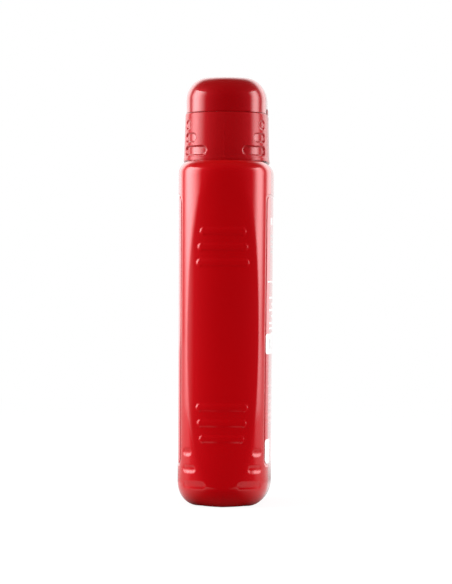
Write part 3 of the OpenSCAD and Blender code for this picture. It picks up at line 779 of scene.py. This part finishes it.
def buildHingeStrap():
    # the strap's upright section, pinched by a shallow groove on both faces, carried across from side to side
    low, high = boxInMm("living_hinge")
    high[1] -= hinge["trim"]
    middle = (low[2] + high[2]) / 2
    centre = (low[1] + high[1]) / 2
    section = roundedPath([(centre, low[2], 0), (high[1], low[2], hinge["corner"]),
                           (high[1], high[2], hinge["corner"]), (centre, high[2], 0)], 3)
    heights = spaced(section[4, 1], (section[5, 1], hinge["upStep"]))[1:-1]
    face = np.stack([np.full_like(heights, high[1]), heights], axis=1)
    half = np.vstack([section[:5], face, section[5:]])
    aside = np.abs(half[:, 1] - middle)
    pinch = hinge["grooveDepth"] * (1 - ramp(aside, hinge["grooveFloor"], hinge["grooveHalf"]))
    half[:, 0] = np.maximum(half[:, 0] - pinch, centre)
    other = half[-2:0:-1].copy()
    other[:, 0] = 2 * centre - other[:, 0]
    profile = np.vstack([half, other])[::-1]
    x = np.linspace(low[0], high[0], hinge["acrossSteps"])
    rings = np.stack(np.broadcast_arrays(x[:, None], profile[:, 0], profile[:, 1]), axis=2)
    return gridMesh("hingeStrap", rings, [low[0], centre, middle], [high[0], centre, middle])


hingeStrap = buildHingeStrap()
useMaterial(hingeStrap, closureMaterial)
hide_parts("living_hinge")
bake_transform(hingeStrap)
print("hinge strap:", len(hingeStrap.data.polygons), "faces")


# Gel: one solid up to its level, a hair inside the shell's inner side, seen only through the open neck

gel = {"gap": 0.03, "baseSteps": 5, "roundSteps": 8, "upStep": 3}


def buildGel():
    # the shell's inner side from the hollow under the base up to the gel's level, closed by a flat top
    inset, level = bottle["wall"] + gel["gap"], boxInMm("gel_fill")[1][2]
    turn = np.linspace(0, bottle["innerTurn"], gel["roundSteps"])
    roundZ = inset + (bottle["baseRoundHeight"] - inset) * (1 - np.cos(turn))
    z = np.concatenate([roundZ, spaced(bottle["baseRoundHeight"], (level, gel["upStep"]))])
    sides = bottleRings(z, sideInset(z, inset), inset, False)
    base = baseRows(inset, gel["baseSteps"])
    rings = np.concatenate([towardsPole(base[0], 4)[::-1], base, sides, towardsPole(sides[-1], 6)])
    return gridMesh("gelFill", rings, [0, 0, bottle["pushUp"] + inset], [0, 0, level])


gelLook = {
    "colour": (0.55, 0.03, 0.035), "colourDrift": (0.6, 0.05, 0.05), "roughness": (0.05, 0.1),
    "wave": 30.0, "peel": 300.0, "peelShare": 0.1, "bump": 0.05, "bumpHeight": 0.0005, "gloss": 0.05,
    "coat": 1.0, "tint": (1.0, 1.0, 1.0), "specular": 0.5,
    "fixed": {"Transmission Weight": 0.6, "IOR": 1.36},
}
gelFill = buildGel()
useMaterial(gelFill, plasticMaterial("showerGel", gelLook))
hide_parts("gel_fill")
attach(gelFill, "bottle")
print("gel:", len(gelFill.data.polygons), "faces")


# Camera: level, at the height and distance that the photograph's perspective gives

# turn and roll in degrees, distance, height and the frame's height at the bottle in millimetres
view = {"turn": 2.9, "distance": 1100, "height": 109.6, "tall": 304.6, "roll": 0.41, "sensor": 24}


def levelAim(degrees, distance, height):  # a place around the bottle, facing its middle line, level
    turn = radians(degrees)
    spot = Vector((distance * cos(turn), distance * sin(turn), height))
    facing = (Vector((0, 0, height)) - spot).to_track_quat("-Z", "Y").to_matrix().to_4x4()
    return Matrix.Translation(spot) @ facing


def buildCamera():  # lens = sensor height * distance / the height that the frame shows
    data = bpy.data.cameras.new("photoCamera")
    data.sensor_fit = "VERTICAL"
    data.sensor_height = view["sensor"]
    data.lens = data.sensor_height * view["distance"] / view["tall"]
    camera = bpy.data.objects.new("photoCamera", data)
    aim = levelAim(view["turn"], view["distance"] * mm, view["height"] * mm)
    camera.matrix_world = aim @ Matrix.Rotation(radians(view["roll"]), 4, "Z")
    bpy.context.scene.collection.objects.link(camera)
    bpy.context.scene.camera = camera


buildCamera()


# Light: two tall soft panels beside the bottle, dark in front and a white room behind

# azimuth in degrees from +X, sizes in metres; glow is (height share, strength) from the floor up, and fade is
# the share of the half width where the light starts to fall off towards the panel's edge
panels = [
    {"azimuth": -77, "distance": 0.8, "width": 1.0, "height": 0.75, "radiance": 9.0, "fade": 0.1,
     "glow": ((0, 0.25), (0.07, 0.42), (0.13, 0.62), (0.2, 0.8), (0.26, 0.96), (0.36, 1))},
    {"azimuth": 80, "distance": 0.8, "width": 0.78, "height": 0.75, "radiance": 6.6, "fade": 0.1,
     "glow": ((0, 0.28), (0.07, 0.48), (0.13, 0.68), (0.16, 0.85), (0.2, 0.95), (0.3, 1))},
]


def valueRamp(tree, value, stops):  # a smooth curve through (place, value) stops
    node = tree.nodes.new("ShaderNodeValToRGB")
    node.color_ramp.interpolation = "EASE"
    elements = node.color_ramp.elements
    while len(elements) < len(stops):
        elements.new(1.0)
    for element, (place, level) in zip(elements, stops):
        element.position = place
        element.color = (level, level, level, 1)
    tree.links.new(value, node.inputs[0])
    return node.outputs["Color"]


def buildPanel(panel):  # power = pi * radiance * area, times the glow up the panel and the fade to its sides
    data = bpy.data.lights.new("softPanel", "AREA")
    data.shape = "RECTANGLE"
    data.size, data.size_y = panel["width"], panel["height"]
    data.energy = pi * panel["radiance"] * panel["width"] * panel["height"]
    data.use_nodes = True
    tree = data.node_tree
    emission = next(node for node in tree.nodes if node.type == "EMISSION")
    split = tree.nodes.new("ShaderNodeSeparateXYZ")
    tree.links.new(tree.nodes.new("ShaderNodeNewGeometry").outputs["Parametric"], split.inputs[0])
    aside = mathNode(tree, "ABSOLUTE", mathNode(tree, "SUBTRACT", split.outputs["X"], 0.5))
    fade = mapRange(tree, aside, 0.5 * panel["fade"], 0.5, 1.0, 0.0)
    glow = valueRamp(tree, split.outputs["Y"], panel["glow"])
    tree.links.new(mathNode(tree, "MULTIPLY", fade, glow), emission.inputs["Strength"])
    lamp = bpy.data.objects.new("softPanel", data)
    lamp.matrix_world = levelAim(panel["azimuth"], panel["distance"], panel["height"] / 2)
    lamp.visible_camera = False
    bpy.context.scene.collection.objects.link(lamp)


for panel in panels:
    buildPanel(panel)


# gloss is (place, strength) over the direction: 0 straight behind, 0.5 at the sides and 1 in front; the room's
# light ends between the two heights of the direction, where 1 is straight up
room = {"ambient": 0.70, "peak": 3.0, "endLow": 0.45, "endHigh": 0.95,
        "gloss": ((0, 0.33), (0.03, 0.4), (0.1, 0.8), (0.2, 0.95), (0.3, 0.1), (0.36, 0))}


def buildWorld():
    # white to the camera; to gloss, bright behind the bottle and dark in front; to the rest, an even grey
    world = bpy.data.worlds.new("studio")
    world.use_nodes = True
    tree = world.node_tree
    background = tree.nodes["Background"]
    path = tree.nodes.new("ShaderNodeLightPath")
    split = tree.nodes.new("ShaderNodeSeparateXYZ")
    tree.links.new(tree.nodes.new("ShaderNodeTexCoord").outputs["Generated"], split.inputs[0])
    behind = valueRamp(tree, mathNode(tree, "MULTIPLY_ADD", split.outputs["X"], 0.5, 0.5), room["gloss"])
    above = mapRange(tree, split.outputs["Z"], room["endLow"], room["endHigh"], room["peak"], 0.0)
    gloss = mathNode(tree, "MULTIPLY", behind, above)
    notGlossy = mathNode(tree, "SUBTRACT", 1.0, path.outputs["Is Glossy Ray"])
    soft = mathNode(tree, "MULTIPLY", notGlossy, room["ambient"])
    lit = mathNode(tree, "MULTIPLY_ADD", path.outputs["Is Glossy Ray"], gloss, soft)
    seen = path.outputs["Is Camera Ray"]
    unseen = mathNode(tree, "SUBTRACT", 1.0, seen)
    strength = mathNode(tree, "MULTIPLY_ADD", unseen, lit, seen)
    tree.links.new(strength, background.inputs["Strength"])
    background.inputs["Color"].default_value = (1, 1, 1, 1)
    bpy.context.scene.world = world


buildWorld()

# to gloss, the floor is bright behind the bottle and dark in front, as the room is, and it gains a little
# beside the bottle; each pair of lengths, in metres from the middle, is where a change starts and ends
floorLook = {
    "radii": (0.05, 0.15, 0.4, 1.0, 3.0), "columns": 96, "glow": 0.90, "albedo": 0.12, "bounce": 0.5,
    "fade": (0.25, 1.0), "gloss": ((0, 0.5), (0.25, 0.5), (0.35, 0.4), (0.6, 0.35), (0.75, 0)),
    "near": (0.02, 0.3), "nearLevels": (0.35, 2.0),
    "beside": 0.7, "besideBounce": 0.8, "besideWidth": (0.012, 0.034), "close": (0.07, 0.16),
    "around": (0.08, 0.3),
}


def buildFloor():
    # a wide disc: mostly its own white to the camera, with some true diffuse light that keeps the shadow
    turn = np.linspace(0, 2 * pi, floorLook["columns"] + 1)[:-1]
    circle = np.stack([np.cos(turn), np.sin(turn), np.zeros_like(turn)], axis=1)
    rings = np.array(floorLook["radii"])[::-1, None, None] / mm * circle
    floor = gridMesh("floor", rings, None, [0, 0, 0])
    material = bpy.data.materials.new("paleFloor")
    material.use_nodes = True
    tree = material.node_tree
    tree.nodes.remove(tree.nodes["Principled BSDF"])
    place = tree.nodes.new("ShaderNodeTexCoord").outputs["Object"]
    length = tree.nodes.new("ShaderNodeVectorMath")
    length.operation = "LENGTH"
    tree.links.new(place, length.inputs[0])
    away = length.outputs["Value"]
    far = mapRange(tree, away, *floorLook["fade"], 0.0, 1.0)
    split = tree.nodes.new("ShaderNodeSeparateXYZ")
    tree.links.new(place, split.inputs[0])
    ahead = mathNode(tree, "DIVIDE", split.outputs["X"], mathNode(tree, "ADD", away, 0.01))
    gloss = valueRamp(tree, mathNode(tree, "MULTIPLY_ADD", ahead, 0.5, 0.5), floorLook["gloss"])
    near = mapRange(tree, away, *floorLook["near"], *floorLook["nearLevels"])
    path = tree.nodes.new("ShaderNodeLightPath")
    seen, glossy = path.outputs["Is Camera Ray"], path.outputs["Is Glossy Ray"]
    aside = mathNode(tree, "ABSOLUTE", split.outputs["Y"])
    beside = mapRange(tree, aside, *floorLook["besideWidth"], 0.0, floorLook["beside"])
    close = mapRange(tree, away, *floorLook["close"], 1.0, 0.0)
    spread = mathNode(tree, "MULTIPLY_ADD", gloss, near, mathNode(tree, "MULTIPLY", beside, close))
    mirrored = mathNode(tree, "MULTIPLY", glossy, spread)
    around = mapRange(tree, away, *floorLook["around"], 1.0, 0.0)
    extra = mathNode(tree, "MULTIPLY", beside, floorLook["besideBounce"])
    bounce = mathNode(tree, "MULTIPLY_ADD", around, extra, floorLook["bounce"])
    given = mathNode(tree, "MULTIPLY_ADD", path.outputs["Is Diffuse Ray"], bounce, mirrored)
    diffuse = tree.nodes.new("ShaderNodeBsdfDiffuse")
    notGlossy = mathNode(tree, "MULTIPLY", mathNode(tree, "SUBTRACT", 1.0, glossy), floorLook["albedo"])
    tree.links.new(notGlossy, diffuse.inputs["Color"])
    glow = tree.nodes.new("ShaderNodeEmission")
    tree.links.new(mathNode(tree, "MULTIPLY_ADD", seen, floorLook["glow"], given), glow.inputs["Strength"])
    both = tree.nodes.new("ShaderNodeAddShader")
    tree.links.new(diffuse.outputs[0], both.inputs[0])
    tree.links.new(glow.outputs[0], both.inputs[1])
    white = tree.nodes.new("ShaderNodeEmission")
    tree.links.new(mathNode(tree, "MAXIMUM", seen, given), white.inputs["Strength"])
    mix = tree.nodes.new("ShaderNodeMixShader")
    tree.links.new(far, mix.inputs[0])
    tree.links.new(both.outputs[0], mix.inputs[1])
    tree.links.new(white.outputs[0], mix.inputs[2])
    tree.links.new(mix.outputs[0], tree.nodes["Material Output"].inputs["Surface"])
    useMaterial(floor, material)


buildFloor()
bpy.context.scene.view_settings.view_transform = "Standard"
print("camera, light and floor are set")
